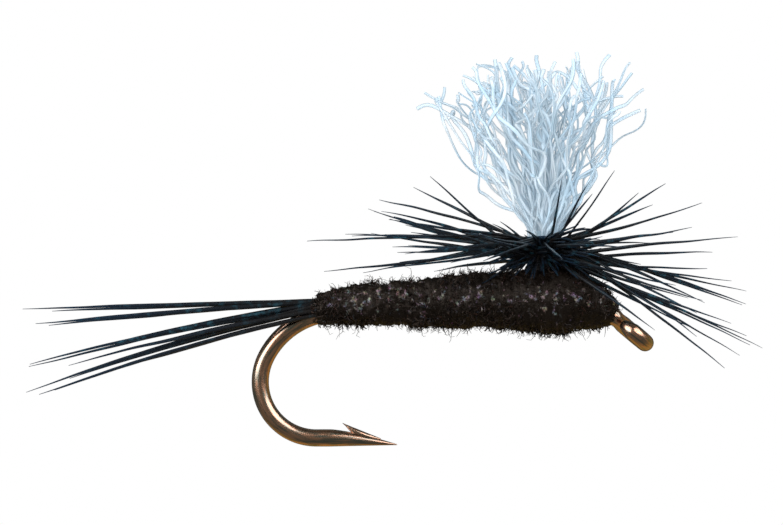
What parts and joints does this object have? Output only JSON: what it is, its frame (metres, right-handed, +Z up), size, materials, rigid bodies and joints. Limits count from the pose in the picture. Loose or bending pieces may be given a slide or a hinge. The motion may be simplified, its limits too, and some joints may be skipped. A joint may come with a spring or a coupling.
{
  "type": "dry fly",
  "caption": "Parachute dry fly on a bronzed down-eye hook, with a black dubbed body, fibre tail, flat-wound black hackle and a white yarn wing post.",
  "frame": {"origin": "centre of the hole in the hook's eye", "axes": "+X forward along the shank and out past the eye, +Z up on the wing's side, +Y to the fly's left"},
  "size_m": [0.0151, 0.0087, 0.0081],
  "materials": {
    "hook_wire": "glossy bronzed wire",
    "thread": "waxed tying thread",
    "dubbing": "spun fur, slightly fuzzy",
    "wing_yarn": "glossy crimped filament yarn",
    "quill": "satin feather stem",
    "hackle_fibre": "glossy feather barb",
    "varnish": "clear gloss head cement"
  },
  "bodies": {
    "root": {"hook": "hook_wire", "thread_underbody": "thread", "tail_fibre_01": "hackle_fibre", "tail_fibre_02": "hackle_fibre", "tail_fibre_03": "hackle_fibre", "tail_fibre_04": "hackle_fibre", "tail_fibre_05": "hackle_fibre", "tail_fibre_06": "hackle_fibre", "tail_fibre_07": "hackle_fibre", "tail_fibre_08": "hackle_fibre", "tail_fibre_09": "hackle_fibre", "tail_fibre_10": "hackle_fibre", "tail_fibre_11": "hackle_fibre", "tail_fibre_12": "hackle_fibre", "tail_tie_wraps": "thread", "abdomen_dubbing": "dubbing", "wing_yarn_butt": "wing_yarn", "wing_post": "wing_yarn", "wing_plume": "wing_yarn", "wing_tie_wraps": "thread", "post_thread_wraps": "thread", "thorax_dubbing": "dubbing", "hackle_stem_butt": "quill", "hackle_quill": "quill", "hackle_barbs_turn_1": "hackle_fibre", "hackle_barbs_turn_2": "hackle_fibre", "hackle_barbs_turn_3": "hackle_fibre", "hackle_barbs_turn_4": "hackle_fibre", "hackle_barbs_turn_5": "hackle_fibre", "hackle_tie_down_wraps": "thread", "head_wraps": "thread", "head_cement": "varnish"}
  },
  "joints": []
}
